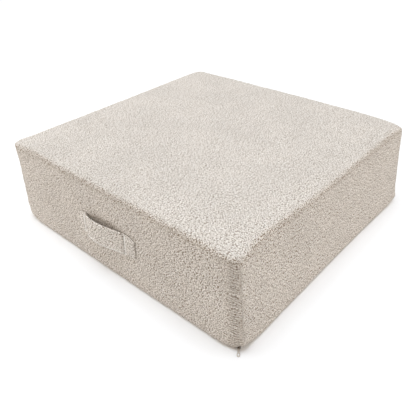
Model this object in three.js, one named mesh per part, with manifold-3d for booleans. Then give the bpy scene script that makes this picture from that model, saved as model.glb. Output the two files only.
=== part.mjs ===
// Jumping cushion: a low foam-filled block in a bouclé cover, with a carrying strap on its front
// wall and the slider and pull of its zip at the lower front right corner.
// Millimetres, +Z up. The origin is the middle of the flat base, +X to the right and +Y to the back.
import * as THREE from 'three';
import { mergeVertices } from 'three/addons/utils/BufferGeometryUtils.js';
import Module from 'manifold-3d';

const wasm = await Module();
wasm.setup();

// Cushion: its size at the upper edge, and how the filling shapes it
const topWidth = 633;
const topDepth = 600;
const wallHeight = 195;
const footSpread = 0.0245; // share by which the foot is wider than the top
const crownRise = 5;
const crownPower = 4;
const crownFade = 4; // how fast the crown dies out from the top down to the base
const bowFade = 6; // how fast a wall's bow dies out towards the cushion's middle
const topEdgeRadius = 13;
const footEdgeRadius = 9;
const footCornerExtra = 6; // the foot is rounder still at the corners
const footCornerReach = 60;
const footCornerGain = 1.6;
const cornerRadiusTop = 26;
const cornerRadiusFoot = 29;
const cornerRadiusGain = 1.6; // the top's radius is reached at 1 / 1.6 of the height

// Each wall: how far its upper edge and its foot bow out at mid-length, and how far its waist draws in
const walls = [
  { name: 'front', axis: 'y', side: -1, upperBow: -0.8, footBow: 1.2, waist: 0 },
  { name: 'right', axis: 'x', side: 1, upperBow: 0, footBow: -2.2, waist: 1.2 },
  { name: 'back', axis: 'y', side: 1, upperBow: 3.0, footBow: 1.0, waist: 1.5 },
  { name: 'left', axis: 'x', side: -1, upperBow: -1.0, footBow: 1.5, waist: 1.5 },
];

// Each top corner: how far the seam's end pokes out as an ear, and how far the corner sags
const corners = [
  { x: -1, y: -1, ear: 4.0, sag: 0 }, // front left
  { x: 1, y: -1, ear: 0.5, sag: 1.0 }, // front right
  { x: 1, y: 1, ear: 0.5, sag: 5.0 }, // back right
  { x: -1, y: 1, ear: 1.0, sag: 1.5 }, // back left
];
const cornerReach = 48;
const cornerReachDown = 34;

// Grid of the cushion's box: distances from an edge at which the lines crowd together
const planLines = [0, 4.5, 9, 13, 20, 30];
const heightLinesTop = [0, 4.5, 9, 13, 24];
const heightLinesFoot = [0, 3, 6, 9, 18];
const planSpans = 13; // even spans between the crowded lines
const heightSpans = 4;

// Carrying strap: a band of doubled cloth, its two ends sewn flat
const strapMiddle = -7;
const strapLoop = 120;
const strapEnd = 24;
const strapWidth = 47.5;
const strapFootHeight = 69.5;
const strapTilt = 0.033; // its right end sits higher
const strapThickness = 3.4;
const strapSeat = 0.35;
const strapLift = 8.3;
const strapSkew = 0.707; // the loop stands out most to the left of its middle
const strapSag = 0.8;
const strapSpans = 34;
// Lines across the strap's width: distance from its lower edge, and thickness there as a share
const strapLines = [
  { share: 0, thick: 0.45 },
  { share: 0.03, thick: 0.82 },
  { share: 0.09, thick: 1 },
  { share: 0.36, thick: 1 },
  { share: 0.64, thick: 1 },
  { share: 0.91, thick: 1 },
  { share: 0.97, thick: 0.82 },
  { share: 1, thick: 0.45 },
];

// Zip: its slider is parked in a pocket under the front right corner, and the pull lies on the floor.
// Distances run outwards from the place where the pull comes out from under the cover
const zipMouth = { x: 312.6, y: -294.8 };
const zipTurn = -54; // degrees from +X, the way the pull points
const pocket = { inner: -8.6, outer: 9, width: 6.6, height: 6 };
const slider = { inner: -8, outer: 0.2, width: 5.8, nose: 4.4, foot: 0.45, thickness: 2 };
const bridge = { inner: -4.4, outer: 0.2, width: 1.7, height: 3, wall: 0.8 };
const pull = { inner: -2.15, tip: 16.35, neck: 4, head: 5.8, thickness: 1.1 };
const pullEye = { inner: -1.05, outer: 1, width: 2.5 };
const pullHole = { fromTip: 4.5, length: 4.6, width: 2.8 };
const pullBarHeight = 3.65; // where the slider's bridge holds it
const pullTipHeight = 0.75;

const joinWithin = 1e-4; // points of a mesh this close are one

const cloth = new THREE.MeshStandardMaterial({ color: '#c9c1b6', roughness: 0.95, metalness: 0 });
const strapCloth = new THREE.MeshStandardMaterial({ color: '#cbc3b9', roughness: 0.95, metalness: 0 });
const sliderMetal = new THREE.MeshStandardMaterial({ color: '#6b5f55', roughness: 0.4, metalness: 0.8 });
const pullMetal = new THREE.MeshStandardMaterial({ color: '#9c9186', roughness: 0.35, metalness: 0.8 });

const part = new THREE.Group();

function addPiece(name, geometry, material) {
  const mesh = new THREE.Mesh(geometry, material);
  mesh.name = name;
  part.add(mesh);
  return mesh;
}

// --- Cushion ---

// Lines of one grid direction, from -half to +half
function gridLines(half, lowLines, highLines, spans) {
  const low = lowLines.map((d) => -half + d);
  const high = highLines.map((d) => half - d).reverse();
  const from = low[low.length - 1];
  const step = (high[0] - from) / spans;
  const between = [];
  for (let i = 1; i < spans; i += 1) {
    between.push(from + i * step);
  }
  return [...low, ...between, ...high];
}

function clamp(value, limit) {
  return Math.max(-limit, Math.min(limit, value));
}

// How far a wall stands out at a place along it (-1 to 1) and at a height (0 to 1)
function wallOffset(wall, along, height) {
  const middle = (1 - along ** 2) ** 2;
  const bow = wall.footBow + (wall.upperBow - wall.footBow) * height;
  const waist = wall.waist * 4 * height * (1 - height);
  return middle * (bow - waist);
}

function spread(z) {
  return 1 + footSpread * (1 - z / wallHeight);
}

// 0 along the walls, rising to 1 in each corner
function cornerShare(x, y) {
  const nearX = Math.max(0, 1 - (topWidth / 2 - Math.abs(x)) / footCornerReach);
  const nearY = Math.max(0, 1 - (topDepth / 2 - Math.abs(y)) / footCornerReach);
  return Math.min(1, nearX * nearY * footCornerGain);
}

// Rounds an edge of the box: the inset from the wall and the depth from the face become an arc
function roundEdge(inset, depth, radius) {
  if (inset >= radius || depth >= radius) {
    return { inset, depth };
  }
  const quarter = Math.PI / 4;
  const turn = depth > 0 ? quarter * (1 + depth / radius) : quarter * (1 - inset / radius);
  return { inset: radius * (1 - Math.sin(turn)), depth: radius * (1 - Math.cos(turn)) };
}

// Moves a point of the plain box to its place on the filled cushion
function fill(x, y, z) {
  const height = z / wallHeight;
  const change = Math.min(1, cornerRadiusGain * height);
  const radius = cornerRadiusFoot + (cornerRadiusTop - cornerRadiusFoot) * change;
  const insideX = clamp(x, topWidth / 2 - radius);
  const insideY = clamp(y, topDepth / 2 - radius);
  const far = Math.max(Math.abs(x - insideX), Math.abs(y - insideY));
  const length = Math.hypot(x - insideX, y - insideY) || 1;
  const outX = (x - insideX) / length;
  const outY = (y - insideY) / length;

  const nearTop = z > wallHeight / 2;
  const edge = nearTop ? topEdgeRadius : footEdgeRadius + footCornerExtra * cornerShare(x, y);
  const depth = nearTop ? wallHeight - z : z;
  const soft = roundEdge(radius - far, depth, edge);
  const reach = radius - soft.inset;
  let px = insideX + outX * reach;
  let py = insideY + outY * reach;
  let pz = nearTop ? wallHeight - soft.depth : soft.depth;

  // Crown of the top, which dies out at its edges and towards the base
  const acrossX = Math.min(1, Math.abs(px) / (topWidth / 2));
  const acrossY = Math.min(1, Math.abs(py) / (topDepth / 2));
  const level = pz / wallHeight;
  const crown = (1 - acrossX ** crownPower) * (1 - acrossY ** crownPower);
  pz += crownRise * crown * level ** crownFade;

  // Bows and waists of the walls
  for (const wall of walls) {
    const isX = wall.axis === 'x';
    const towards = wall.side * (isX ? px / (topWidth / 2) : py / (topDepth / 2));
    const along = isX ? py / (topDepth / 2) : px / (topWidth / 2);
    if (towards > 0) {
      const offset = wallOffset(wall, clamp(along, 1), Math.min(1, level));
      const moved = wall.side * offset * towards ** bowFade;
      px += isX ? moved : 0;
      py += isX ? 0 : moved;
    }
  }

  // Ears and sags of the top corners
  for (const corner of corners) {
    const awayX = px - (corner.x * topWidth) / 2;
    const awayY = py - (corner.y * topDepth) / 2;
    const near = Math.exp(-(awayX ** 2 + awayY ** 2) / cornerReach ** 2);
    const high = Math.exp(-(((wallHeight - pz) / cornerReachDown) ** 2));
    px += corner.x * corner.ear * near * high * Math.SQRT1_2;
    py += corner.y * corner.ear * near * high * Math.SQRT1_2;
    pz -= corner.sag * near * high;
  }
  const wider = spread(Math.min(wallHeight, pz));
  return new THREE.Vector3(px * wider, py * wider, pz);
}

function makeCushion() {
  const xs = gridLines(topWidth / 2, planLines, planLines, planSpans);
  const ys = gridLines(topDepth / 2, planLines, planLines, planSpans);
  const zs = gridLines(wallHeight / 2, heightLinesFoot, heightLinesTop, heightSpans);
  const counts = [xs, ys, zs].map((lines) => lines.length - 1);
  const box = new THREE.BoxGeometry(1, 1, 1, ...counts);
  const place = box.getAttribute('position');
  for (let i = 0; i < place.count; i += 1) {
    const unit = [place.getX(i), place.getY(i), place.getZ(i)];
    const line = unit.map((v, k) => Math.round((v + 0.5) * counts[k]));
    const point = fill(xs[line[0]], ys[line[1]], zs[line[2]] + wallHeight / 2);
    place.setXYZ(i, point.x, point.y, point.z);
  }
  box.deleteAttribute('normal');
  box.deleteAttribute('uv');
  return mergeVertices(box, joinWithin);
}

// --- Carrying strap ---

// The front wall's surface at a place along it and a height
function frontWall(x, z) {
  const wall = walls.find((w) => w.name === 'front');
  const along = x / (topWidth / 2) / spread(z);
  return -(topDepth / 2 + wallOffset(wall, along, z / wallHeight)) * spread(z);
}

// How far the strap's back stands off the wall, at a distance from the strap's middle
function strapStandOff(along) {
  const u = (along + strapLoop / 2) / strapLoop;
  if (u <= 0 || u >= 1) {
    return strapSeat;
  }
  return strapSeat + strapLift * Math.sin(Math.PI * u ** strapSkew);
}

function makeStrap() {
  const half = strapLoop / 2 + strapEnd;
  const back = [];
  for (let i = 0; i <= strapSpans; i += 1) {
    const along = -half + (2 * half * i) / strapSpans;
    back.push(new THREE.Vector2(along, -strapStandOff(along)));
  }
  const front = back.map((p) => new THREE.Vector2(p.x, p.y - strapThickness)).reverse();
  const outline = new THREE.Shape([...back, ...front]);
  const band = new THREE.ExtrudeGeometry(outline, {
    depth: 1,
    steps: strapLines.length - 1,
    bevelEnabled: false,
  });
  const place = band.getAttribute('position');
  for (let i = 0; i < place.count; i += 1) {
    const line = strapLines[Math.round(place.getZ(i) * (strapLines.length - 1))];
    const along = place.getX(i);
    const stand = strapStandOff(along);
    const through = -place.getY(i) - stand - strapThickness / 2;
    const off = stand + strapThickness / 2 + through * line.thick;
    const sag = strapSag * ((stand - strapSeat) / strapLift);
    const z = strapFootHeight + line.share * strapWidth + strapTilt * along - sag;
    const x = strapMiddle + along;
    place.setXYZ(i, x, frontWall(x, z) - off, z);
  }
  band.deleteAttribute('normal');
  band.deleteAttribute('uv');
  return mergeVertices(band, joinWithin);
}

// --- Zip slider and pull ---

function toSolid(geometry) {
  const bare = geometry.clone();
  bare.deleteAttribute('normal');
  bare.deleteAttribute('uv');
  const merged = mergeVertices(bare, joinWithin);
  const mesh = new wasm.Mesh({
    numProp: 3,
    vertProperties: Float32Array.from(merged.getAttribute('position').array),
    triVerts: Uint32Array.from(merged.getIndex().array),
  });
  return new wasm.Manifold(mesh);
}

function toGeometry(solid) {
  const mesh = solid.getMesh();
  const geometry = new THREE.BufferGeometry();
  geometry.setAttribute('position', new THREE.BufferAttribute(mesh.vertProperties, 3));
  geometry.setIndex(new THREE.BufferAttribute(mesh.triVerts, 1));
  return geometry;
}

function slab(shape, thickness) {
  const geometry = new THREE.ExtrudeGeometry(shape, {
    depth: thickness,
    bevelEnabled: false,
    curveSegments: 8,
  });
  return geometry.translate(0, 0, -thickness / 2);
}

// A piece made lengthways along +X is turned to point out of the zip's mouth
function toZipMouth(geometry) {
  return geometry.rotateZ(THREE.MathUtils.degToRad(zipTurn)).translate(zipMouth.x, zipMouth.y, 0);
}

function makeSlider() {
  const shoulder = (slider.inner + slider.outer) / 2;
  const plan = new THREE.Shape();
  plan.moveTo(slider.inner, -slider.width / 2);
  plan.lineTo(shoulder, -slider.width / 2);
  plan.lineTo(slider.outer, -slider.nose / 2);
  plan.lineTo(slider.outer, slider.nose / 2);
  plan.lineTo(shoulder, slider.width / 2);
  plan.lineTo(slider.inner, slider.width / 2);
  plan.closePath();
  const plate = slab(plan, slider.thickness).translate(0, 0, slider.foot + slider.thickness / 2);

  const overlap = 0.5;
  const low = slider.foot + slider.thickness;
  const high = low + bridge.height;
  const side = new THREE.Shape();
  side.moveTo(bridge.inner, low - overlap);
  side.lineTo(bridge.outer, low - overlap);
  side.lineTo(bridge.outer, high - bridge.wall);
  side.quadraticCurveTo(bridge.outer, high, bridge.outer - bridge.wall, high);
  side.lineTo(bridge.inner + bridge.wall, high);
  side.quadraticCurveTo(bridge.inner, high, bridge.inner, high - bridge.wall);
  side.closePath();
  const gap = new THREE.Path();
  gap.moveTo(bridge.inner + bridge.wall, low);
  gap.lineTo(bridge.inner + bridge.wall, high - bridge.wall);
  gap.lineTo(bridge.outer - bridge.wall, high - bridge.wall);
  gap.lineTo(bridge.outer - bridge.wall, low);
  gap.closePath();
  side.holes.push(gap);
  const arch = slab(side, bridge.width).rotateX(Math.PI / 2);
  return toZipMouth(toGeometry(toSolid(plate).add(toSolid(arch))));
}

function makePull() {
  const neck = pull.neck / 2;
  const head = pull.head / 2;
  const chamfer = 0.8;
  const taper = (pull.inner + pull.tip) / 2;
  const tab = new THREE.Shape();
  tab.moveTo(pull.inner + chamfer, -neck);
  tab.lineTo(taper, -neck);
  tab.quadraticCurveTo(taper + head, -neck, pull.tip - 2 * head, -head);
  tab.lineTo(pull.tip - head, -head);
  tab.absarc(pull.tip - head, 0, head, -Math.PI / 2, Math.PI / 2, false);
  tab.lineTo(pull.tip - 2 * head, head);
  tab.quadraticCurveTo(taper + head, neck, taper, neck);
  tab.lineTo(pull.inner + chamfer, neck);
  tab.lineTo(pull.inner, neck - chamfer);
  tab.lineTo(pull.inner, -neck + chamfer);
  tab.closePath();
  const hole = new THREE.Path();
  const holeAt = pull.tip - pullHole.fromTip;
  hole.absellipse(holeAt, 0, pullHole.length / 2, pullHole.width / 2, 0, Math.PI * 2, true);
  const eye = new THREE.Path();
  eye.moveTo(pullEye.inner, -pullEye.width / 2);
  eye.lineTo(pullEye.inner, pullEye.width / 2);
  eye.lineTo(pullEye.outer, pullEye.width / 2);
  eye.lineTo(pullEye.outer, -pullEye.width / 2);
  eye.closePath();
  tab.holes.push(hole, eye);
  const bar = (pull.inner + pullEye.inner) / 2;
  const slope = Math.atan2(pullBarHeight - pullTipHeight, pull.tip - bar);
  const flat = slab(tab, pull.thickness).translate(-bar, 0, 0);
  return toZipMouth(flat.rotateY(slope).translate(bar, 0, pullBarHeight));
}

// --- The object ---

const zipPocket = toZipMouth(
  new THREE.BoxGeometry(pocket.outer - pocket.inner, pocket.width, 2 * pocket.height)
    .translate((pocket.outer + pocket.inner) / 2, 0, 0),
);
const filledCover = toSolid(makeCushion());
addPiece('cushion', toGeometry(filledCover.subtract(toSolid(zipPocket))), cloth);
addPiece('carry_strap', makeStrap(), strapCloth);
addPiece('zip_slider', makeSlider(), sliderMetal);
addPiece('zip_pull', makePull(), pullMetal);

export default part;
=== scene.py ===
import math

import bpy
import numpy as np
from mathutils import Matrix, Vector, noise


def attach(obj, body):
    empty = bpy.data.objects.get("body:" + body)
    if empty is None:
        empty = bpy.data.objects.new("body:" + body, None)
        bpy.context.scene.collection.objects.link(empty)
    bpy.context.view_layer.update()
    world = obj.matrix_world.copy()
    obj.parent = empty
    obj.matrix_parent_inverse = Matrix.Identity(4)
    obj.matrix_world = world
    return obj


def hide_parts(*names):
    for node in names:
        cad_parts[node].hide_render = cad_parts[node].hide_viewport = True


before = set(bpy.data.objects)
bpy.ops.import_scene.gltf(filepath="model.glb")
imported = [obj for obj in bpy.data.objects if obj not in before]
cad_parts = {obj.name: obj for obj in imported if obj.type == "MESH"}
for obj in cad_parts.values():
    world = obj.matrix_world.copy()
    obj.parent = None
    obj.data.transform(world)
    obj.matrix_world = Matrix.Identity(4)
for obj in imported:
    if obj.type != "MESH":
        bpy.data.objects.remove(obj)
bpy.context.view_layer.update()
mm = 0.001


def srgb(red, green, blue):
    # given as 0-255 values, used as linear colour
    def linear(value):
        share = value / 255
        return share / 12.92 if share <= 0.04045 else ((share + 0.055) / 1.055) ** 2.4
    return (linear(red), linear(green), linear(blue), 1.0)


def addObject(name, data):
    made = bpy.data.objects.new(name, data)
    bpy.context.scene.collection.objects.link(made)
    return made


def newMesh(name, points, faces, smooth=True):
    mesh = bpy.data.meshes.new(name)
    mesh.from_pydata([tuple(p) for p in points], [], faces)
    mesh.update()
    if smooth:
        mesh.shade_smooth()
    else:
        mesh.shade_flat()
    return addObject(name, mesh)


def meshPoints(mesh):
    points = np.zeros(len(mesh.vertices) * 3)
    mesh.vertices.foreach_get("co", points)
    return points.reshape(-1, 3)


def setMeshPoints(mesh, points):
    mesh.vertices.foreach_set("co", np.ascontiguousarray(points, dtype=np.float64).ravel())
    mesh.update()


def meshNormals(mesh):
    normals = np.zeros(len(mesh.vertices) * 3)
    mesh.vertex_normals.foreach_get("vector", normals)
    return normals.reshape(-1, 3)


def meshCorners(mesh):
    # the point that each face corner stands on
    corners = np.zeros(len(mesh.loops), dtype=np.int32)
    mesh.loops.foreach_get("vertex_index", corners)
    return corners


def addAttribute(mesh, name, kind, domain, values):
    made = mesh.attributes.new(name, kind, domain)
    field = "vector" if kind == "FLOAT_VECTOR" else "value"
    made.data.foreach_set(field, np.ascontiguousarray(values).ravel())


def readAttribute(mesh, name, width=1):
    data = mesh.attributes[name].data
    values = np.zeros(len(data) * width, dtype=np.float32)
    data.foreach_get("vector" if width == 3 else "value", values)
    return values.reshape(-1, 3).astype(float) if width == 3 else values


def applyModifiers(made):
    graph = bpy.context.evaluated_depsgraph_get()
    done = bpy.data.meshes.new_from_object(made.evaluated_get(graph), depsgraph=graph)
    old = made.data
    made.modifiers.clear()
    made.data = done
    bpy.data.meshes.remove(old)
    done.name = made.name


def soften(made):
    smooth = made.modifiers.new("soften", "SUBSURF")
    smooth.levels = smooth.render_levels = 1
    applyModifiers(made)


def noiseAt(points, size, seed):
    shift = Vector((seed * 13.7, seed * 7.1, seed * 3.3))  # a place of its own for each seed
    return np.array([noise.noise(Vector(p) / size + shift) for p in points])


def hump(distance, reach):
    # 1 at the middle of a band, dying out to both sides
    return np.exp(-(distance / reach) ** 2)


def humpOf(distance, reach):
    # the same for a single number
    return math.exp(-(distance / reach) ** 2)


def directionFrom(azimuth, elevation):
    # azimuth 0 is the front and 90 the right-hand side
    a, e = math.radians(azimuth), math.radians(elevation)
    return Vector((math.sin(a) * math.cos(e), -math.cos(a) * math.cos(e), math.sin(e)))


def emptyTree(owner):
    owner.use_nodes = True
    owner.node_tree.nodes.clear()
    return owner.node_tree


def setInputs(node, values):
    for name, value in values.items():
        node.inputs[name].default_value = value


def colourMix(tree, kind="MIX"):
    # a mix of two colours: the sockets for its share and its two colours, and its result
    node = tree.nodes.new("ShaderNodeMix")
    node.data_type = "RGBA"
    node.blend_type = kind
    share, first, second = (node.inputs[number] for number in (0, 6, 7))
    return share, first, second, node.outputs[2]


cameraSettings = {
    "azimuth": 41.106,
    "elevation": 30.786,
    "roll": -1.668,
    "distance": 1.09785,
    "target": (0.0377, -0.0039, 0.1),
    "lens": 41.894,
    "sensor": 36,
    "shift": (-0.0389, -0.0793),
    "clip": (0.01, 100),
}


def makeCamera(s):
    back = directionFrom(s["azimuth"], s["elevation"])
    a, r = math.radians(s["azimuth"]), math.radians(s["roll"])
    right = Vector((math.cos(a), math.sin(a), 0))
    up = back.cross(right)
    across = math.cos(r) * right + math.sin(r) * up
    upward = -math.sin(r) * right + math.cos(r) * up
    data = bpy.data.cameras.new("camera")
    data.lens = s["lens"]
    data.sensor_width = s["sensor"]
    data.shift_x, data.shift_y = s["shift"]
    data.clip_start, data.clip_end = s["clip"]
    made = addObject("camera", data)
    made.matrix_world = Matrix((across, upward, back)).transposed().to_4x4()
    made.location = Vector(s["target"]) + back * s["distance"]
    bpy.context.scene.camera = made


makeCamera(cameraSettings)
bpy.context.scene.view_settings.view_transform = "Standard"
print("camera set")


lightSettings = {
    "world": 0.49,
    "worldColour": (1.12, 1.0, 0.87, 1),
    # a lamp's azimuth and elevation, and its share of full light: a sun has an angular width in
    # degrees, and a panel has a size in metres
    "lamps": {
        "overhead": {
            "from": (0, 90), "width": 45, "distance": 3, "share": 0.54, "colour": (0.88, 1.0, 1.14),
        },
        "front": {
            "from": (41, 35), "width": 30, "distance": 3, "share": 0.08, "colour": (1.06, 1.0, 0.94),
        },
        "left": {
            "from": (-70, 10), "size": 1.2, "distance": 1.9, "share": 0.54, "colour": (1, 1, 1),
        },
        "right": {
            "from": (120, 18), "size": 1.6, "distance": 2.6, "share": 0.17, "colour": (1, 1, 1),
        },
    },
    "backdrop": (0.99, 0.99, 0.99, 1),
    "floorSeen": (0.945, 0.945, 0.945, 1),
    "floorBounce": (0.84, 0.84, 0.84, 1),
    "floorSize": 12,
}


def addLamp(name, s):
    back = directionFrom(*s["from"])
    if "size" in s:
        data = bpy.data.lights.new(name, "AREA")
        data.shape = "SQUARE"
        data.size = s["size"]
        data.energy = s["share"] * (math.pi * s["distance"]) ** 2
    else:
        data = bpy.data.lights.new(name, "SUN")
        data.energy = s["share"] * math.pi
        data.angle = math.radians(s["width"])
    data.color = s["colour"]
    made = addObject(name, data)
    made.rotation_euler = back.to_track_quat("Z", "Y").to_euler()
    made.location = back * s["distance"]


def makeWorld(s):
    # the world lights the cushion at its own level, and is seen as a pale backdrop
    world = bpy.data.worlds.new("studio")
    bpy.context.scene.world = world
    tree = emptyTree(world)
    link = tree.links.new
    out = tree.nodes.new("ShaderNodeOutputWorld")
    mix = tree.nodes.new("ShaderNodeMixShader")
    lit = tree.nodes.new("ShaderNodeBackground")
    seen = tree.nodes.new("ShaderNodeBackground")
    path = tree.nodes.new("ShaderNodeLightPath")
    directOrGlossy = tree.nodes.new("ShaderNodeMath")
    anySeen = tree.nodes.new("ShaderNodeMath")
    directOrGlossy.operation = anySeen.operation = "MAXIMUM"
    setInputs(lit, {"Color": s["worldColour"], "Strength": s["world"]})
    setInputs(seen, {"Color": s["backdrop"], "Strength": 1})
    link(path.outputs["Is Camera Ray"], directOrGlossy.inputs[0])
    link(path.outputs["Is Glossy Ray"], directOrGlossy.inputs[1])
    link(directOrGlossy.outputs[0], anySeen.inputs[0])
    link(path.outputs["Is Transmission Ray"], anySeen.inputs[1])
    link(anySeen.outputs[0], mix.inputs["Fac"])
    link(lit.outputs[0], mix.inputs[1])
    link(seen.outputs[0], mix.inputs[2])
    link(mix.outputs[0], out.inputs["Surface"])


def makeFloor(s):
    half = s["floorSize"] / 2
    corners = [(-half, -half, 0), (half, -half, 0), (half, half, 0), (-half, half, 0)]
    floor = newMesh("floor", corners, [(0, 1, 2, 3)], smooth=False)
    material = bpy.data.materials.new("pale floor")
    tree = emptyTree(material)
    link = tree.links.new
    out = tree.nodes.new("ShaderNodeOutputMaterial")
    mix = tree.nodes.new("ShaderNodeMixShader")
    path = tree.nodes.new("ShaderNodeLightPath")
    bounce = tree.nodes.new("ShaderNodeBsdfDiffuse")
    seen = tree.nodes.new("ShaderNodeBsdfDiffuse")
    setInputs(bounce, {"Color": s["floorBounce"]})
    setInputs(seen, {"Color": s["floorSeen"]})
    link(path.outputs["Is Camera Ray"], mix.inputs["Fac"])
    link(bounce.outputs[0], mix.inputs[1])
    link(seen.outputs[0], mix.inputs[2])
    link(mix.outputs[0], out.inputs["Surface"])
    floor.data.materials.append(material)


makeWorld(lightSettings)
makeFloor(lightSettings)
for lampName, lamp in lightSettings["lamps"].items():
    addLamp(lampName, lamp)
print("floor and lights set")


weaveSettings = {  # scales are against the width of a knob
    "bend": {"scale": 0.65, "reach": 1.7},  # how the rows of knobs wander
    "fuzz": {"scale": 2.6, "detail": 2.0, "rough": 0.6, "height": 0.25, "spread": 0.5},
    "patches": {"scale": 0.9},
    "leaning": {"turn": -6, "stretch": 1.35},  # knobs on the open cloth
    "flat": {"turn": 4, "stretch": 1.6},  # knobs where the cloth is gathered
    "randomness": 0.9,
    "dome": {"narrow": 1.35, "power": 0.5, "height": 0.85},
    # "dark" is how much painted shade fills the creases of the gathers
    "gathers": {  # a fold every 2.3 knobs
        "scale": 0.139, "distortion": 5.0, "detail": 1.0, "detailScale": 1.2,
        "broken": 1.8, "from": 0.25, "to": 0.6, "depth": 1.1, "dark": 0.42,
    },
    # the pits carry painted shade between the knobs, cleared where the painted light value is above 0
    "pits": {
        "from": 0.33, "to": 0.62, "patchFrom": 0.3, "patchTo": 0.62, "shallow": 0.7,
        "shadeCleared": 0.8, "lessGathered": 0.4, "alwaysGathered": 0.05,
    },
    # the loop tops carry painted highlights, added to where the painted light value is above 0
    "tops": {
        "from": 0.05, "to": 0.36, "toneFrom": 0.35, "toneTo": 0.9, "dullest": 0.25, "wearAndHighlight": 0.6,
    },
    "mottle": {"scale": 9.0, "detail": 2.0, "from": 0.3, "to": 0.7},  # against a metre
}


def makeBoucleGroup(s):
    # knobs of looped yarn, with painted highlights on their tops and painted shade in the small pits
    # between them, worked out in the cloth's own plane
    group = bpy.data.node_groups.new("boucle weave", "ShaderNodeTree")

    def addSocket(name, kind, way, value=None):
        made = group.interface.new_socket(name=name, in_out=way, socket_type="NodeSocket" + kind)
        if value is not None:
            made.default_value = value

    addSocket("Place", "Vector", "INPUT")
    addSocket("Pucker", "Float", "INPUT", 0.0)
    # painted light: above 0 it clears painted shade from the pits and adds painted highlight to the
    # loop tops, below 0 it deepens the painted shade
    addSocket("Wear", "Float", "INPUT", 0.0)
    addSocket("Knobs per metre", "Float", "INPUT", 125.0)
    addSocket("Yarn", "Color", "INPUT", (0.75, 0.7, 0.66, 1))
    addSocket("Loop tops", "Color", "INPUT", (0.85, 0.82, 0.78, 1))
    addSocket("Pits", "Color", "INPUT", (0.45, 0.4, 0.34, 1))
    addSocket("Mottle", "Float", "INPUT", 0.06)
    addSocket("Colour", "Color", "OUTPUT")
    addSocket("Height", "Float", "OUTPUT")
    addSocket("Pit mask", "Float", "OUTPUT")
    nodes, links = group.nodes, group.links
    given = nodes.new("NodeGroupInput")
    out = nodes.new("NodeGroupOutput")

    def fill(socket, value):
        if isinstance(value, (int, float, tuple)):
            socket.default_value = value
        else:
            links.new(value, socket)

    def calc(kind, first, second, clamp=False):
        node = nodes.new("ShaderNodeMath")
        node.operation = kind
        node.use_clamp = clamp
        fill(node.inputs[0], first)
        fill(node.inputs[1], second)
        return node.outputs[0]

    def vectorCalc(kind, first, second=None, scale=None):
        node = nodes.new("ShaderNodeVectorMath")
        node.operation = kind
        fill(node.inputs[0], first)
        if second is not None:
            fill(node.inputs[1], second)
        if scale is not None:
            fill(node.inputs["Scale"], scale)
        return node.outputs[0]

    def noiseOf(vector, scale, detail=1.0, rough=0.5, colour=False):
        node = nodes.new("ShaderNodeTexNoise")
        setInputs(node, {"Scale": scale, "Detail": detail, "Roughness": rough})
        links.new(vector, node.inputs["Vector"])
        return node.outputs["Color" if colour else "Fac"]

    def mapRange(value, low, high, to=(0.0, 1.0)):
        node = nodes.new("ShaderNodeMapRange")
        node.interpolation_type = "SMOOTHSTEP"
        setInputs(node, {"From Min": low, "From Max": high, "To Min": to[0], "To Max": to[1]})
        links.new(value, node.inputs["Value"])
        return node.outputs["Result"]

    def mixed(share, first, second, kind="MIX"):
        shareIn, firstIn, secondIn, result = colourMix(group, kind)
        fill(shareIn, share)
        fill(firstIn, first)
        fill(secondIn, second)
        return result

    def knobs(vector, shape):
        mapping = nodes.new("ShaderNodeMapping")
        mapping.vector_type = "TEXTURE"
        turn, stretch = math.radians(shape["turn"]), shape["stretch"]
        setInputs(mapping, {"Rotation": (0, 0, turn), "Scale": (stretch, 1 / stretch, 1)})
        links.new(vector, mapping.inputs["Vector"])
        cells = nodes.new("ShaderNodeTexVoronoi")
        cells.voronoi_dimensions = "2D"
        cells.feature = "F1"
        setInputs(cells, {"Scale": 1.0, "Randomness": s["randomness"]})
        links.new(mapping.outputs[0], cells.inputs["Vector"])
        return cells

    place, pucker, wear = (given.outputs[name] for name in ("Place", "Pucker", "Wear"))
    cellPlace = vectorCalc("SCALE", place, scale=given.outputs["Knobs per metre"])
    bent = noiseOf(cellPlace, s["bend"]["scale"], colour=True)
    bent = vectorCalc("SUBTRACT", bent, (0.5, 0.5, 0.5))
    bent = vectorCalc("SCALE", bent, scale=s["bend"]["reach"])
    wandering = vectorCalc("ADD", cellPlace, bent)
    fuzz = noiseOf(cellPlace, s["fuzz"]["scale"], s["fuzz"]["detail"], s["fuzz"]["rough"])
    patchy = noiseOf(cellPlace, s["patches"]["scale"])

    # distance from the middle of the nearest knob, and the knobs' domes
    leaning = knobs(wandering, s["leaning"])
    flat = knobs(wandering, s["flat"])
    spare = calc("SUBTRACT", 1.0, pucker, True)
    apart = calc(
        "ADD",
        calc("MULTIPLY", leaning.outputs["Distance"], spare),
        calc("MULTIPLY", flat.outputs["Distance"], pucker),
    )
    dome = calc("MULTIPLY", apart, s["dome"]["narrow"])
    dome = calc("SUBTRACT", 1.0, calc("MULTIPLY", dome, dome), True)
    dome = calc("POWER", dome, s["dome"]["power"])
    domed = calc("MULTIPLY", dome, s["dome"]["height"])
    height = calc("ADD", domed, calc("MULTIPLY", fuzz, s["fuzz"]["height"]))

    # short folds where the cloth is gathered, with painted shade in their creases
    folds = s["gathers"]
    gathers = nodes.new("ShaderNodeTexWave")
    gathers.wave_type = "BANDS"
    gathers.bands_direction = "Y"
    setInputs(gathers, {
        "Scale": folds["scale"], "Distortion": folds["distortion"],
        "Detail": folds["detail"], "Detail Scale": folds["detailScale"],
    })
    links.new(cellPlace, gathers.inputs["Vector"])
    broken = calc("MULTIPLY", calc("SUBTRACT", patchy, 0.5), folds["broken"])
    creases = mapRange(calc("ADD", gathers.outputs["Fac"], broken), folds["from"], folds["to"])
    creaseDepth = calc("MULTIPLY", calc("SUBTRACT", creases, 1.0), pucker)
    height = calc("ADD", height, calc("MULTIPLY", creaseDepth, folds["depth"]))
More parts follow.
